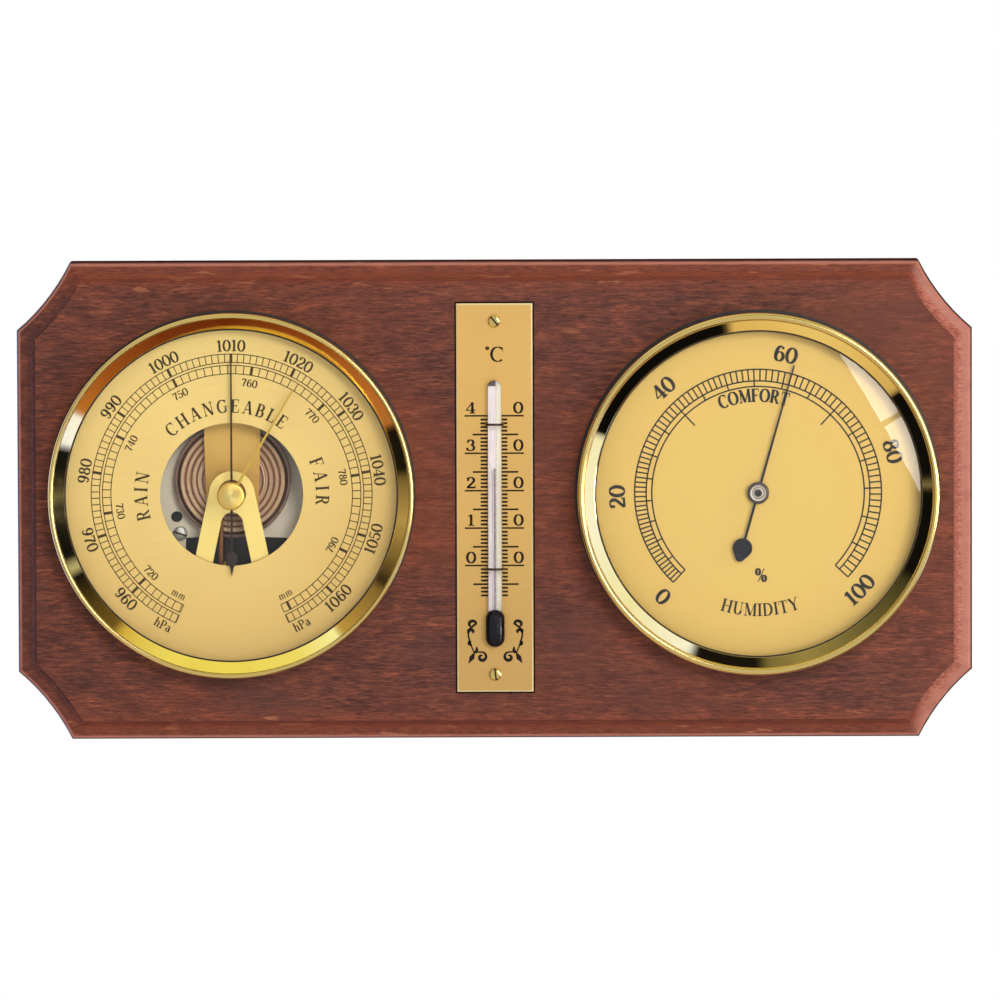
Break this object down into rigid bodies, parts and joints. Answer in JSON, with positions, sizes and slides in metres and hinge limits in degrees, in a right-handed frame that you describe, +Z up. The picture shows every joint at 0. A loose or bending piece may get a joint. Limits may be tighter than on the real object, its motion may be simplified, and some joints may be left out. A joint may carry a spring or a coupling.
{
  "type": "wall weather station",
  "caption": "Moulded wooden wall board with an aneroid barometer, a strip thermometer and a hygrometer, whose pointers, linkage and set hand move.",
  "frame": {"origin": "middle of the board's back face, which lies on the wall", "axes": "+Z up, +X to the right as the viewer faces the dials, and the dials face -Y"},
  "size_m": [0.24, 0.0289, 0.12],
  "materials": {
    "mahogany": "satin varnish",
    "polished_brass": "polished",
    "gold_dial": "gold anodised, satin",
    "dial_print": "printed, matt",
    "satin_brass": "satin",
    "bronze": "satin",
    "copper": "satin copper alloy",
    "silver_plate": "nickel plated",
    "steel": "bright",
    "black_lacquer": "lacquered",
    "pointer_black": "blued, satin",
    "clear_glass": "clear",
    "opal_glass": "white opal",
    "thermo_liquid": "dark liquid"
  },
  "bodies": {
    "station": {"board": "mahogany", "hanger_plate": "polished_brass", "hanger_screws": "polished_brass", "baro_case": "black_lacquer", "baro_case_screws": "steel", "baro_base_plate": "silver_plate", "base_plate_screws": "silver_plate", "aneroid_capsule": "copper", "spring_pillar": "silver_plate", "leaf_clamp": "satin_brass", "rocker_brackets": "silver_plate", "chain": "steel", "hairspring": "steel", "lower_cock": "satin_brass", "arbor_bearing": "bronze", "bridge": "gold_dial", "bridge_pillars": "silver_plate", "bridge_screws": "satin_brass", "baro_dial": "gold_dial", "baro_spacer_ring": "black_lacquer", "baro_glass": "clear_glass", "baro_bezel": "polished_brass", "knob_bush": "polished_brass", "thermo_plate": "gold_dial", "thermo_screws": "polished_brass", "thermo_tube": "clear_glass", "tube_backing": "opal_glass", "bulb_liquid": "thermo_liquid", "tube_clips": "satin_brass", "hygro_case": "black_lacquer", "hygro_case_screws": "steel", "hygro_bridge": "satin_brass", "hygro_bridge_screws": "steel", "hygro_dial": "gold_dial", "hygro_spacer_ring": "black_lacquer", "hygro_glass": "clear_glass", "hygro_bezel": "polished_brass"},
    "pressure_pointer": {"baro_pointer": "pointer_black", "pointer_arbor": "steel"},
    "rocker": {"rocking_shaft": "satin_brass"},
    "leaf": {"leaf_spring": "satin_brass", "transfer_arm": "bronze"},
    "diaphragm": {"capsule_diaphragm": "copper", "capsule_stud": "satin_brass"},
    "set_hand": {"set_hand": "satin_brass", "set_knob": "polished_brass"},
    "zero_screw": {"zero_screw": "satin_brass"},
    "column": {"liquid_column": "thermo_liquid"},
    "coil_adjuster": {"coil_adjuster": "satin_brass", "humidity_coil": "bronze"},
    "humidity_pointer": {"hygro_pointer": "pointer_black", "hygro_eyelet": "steel", "coil_arbor": "steel"}
  },
  "joints": [
    {"name": "pressure_turn", "type": "hinge", "parent": "station", "child": "pressure_pointer", "pos_m": [-0.066, -0.0204, 0.002], "axis": [0, 1, 0], "range_deg": [-156, 156], "deforming": ["chain"]},
    {"name": "rocker_turn", "type": "hinge", "parent": "station", "child": "rocker", "pos_m": [-0.066, -0.007, -0.0195], "axis": [1, 0, 0], "range_deg": [-15.61, 15.61]},
    {"name": "leaf_flex", "type": "hinge", "parent": "station", "child": "leaf", "pos_m": [-0.066, -0.0115, 0.026], "axis": [1, 0, 0], "range_deg": [-1.1, 1.1]},
    {"name": "diaphragm_slide", "type": "slide", "parent": "station", "child": "diaphragm", "axis": [0, -1, 0], "range_m": [-0.0004055, 0.0004055]},
    {"name": "set_hand_turn", "type": "hinge", "parent": "station", "child": "set_hand", "pos_m": [-0.066, -0.0275, 0.002], "axis": [0, 1, 0], "continuous": true},
    {"name": "zero_screw_turn", "type": "hinge", "parent": "station", "child": "zero_screw", "pos_m": [-0.066, -0.002, 0.026], "axis": [0, 1, 0], "range_deg": [-360, 360]},
    {"name": "column_rise", "type": "slide", "parent": "station", "child": "column", "axis": [0, 0, 1], "range_m": [-0.03198, 0.01317], "deforming": ["liquid_column"]},
    {"name": "coil_adjust_turn", "type": "hinge", "parent": "station", "child": "coil_adjuster", "pos_m": [0.066, -0.002, 0.002], "axis": [0, 1, 0], "range_deg": [-30, 30]},
    {"name": "humidity_turn", "type": "hinge", "parent": "coil_adjuster", "child": "humidity_pointer", "pos_m": [0.066, -0.0204, 0.002], "axis": [0, 1, 0], "range_deg": [-152.4, 117.5]}
  ],
  "couplings": [
    {"joint": "leaf_flex", "follows": "diaphragm_slide", "rad_per_m": -47.393},
    {"joint": "rocker_turn", "follows": "diaphragm_slide", "rad_per_m": 671.41},
    {"joint": "pressure_turn", "follows": "diaphragm_slide", "rad_per_m": -6714.1}
  ]
}
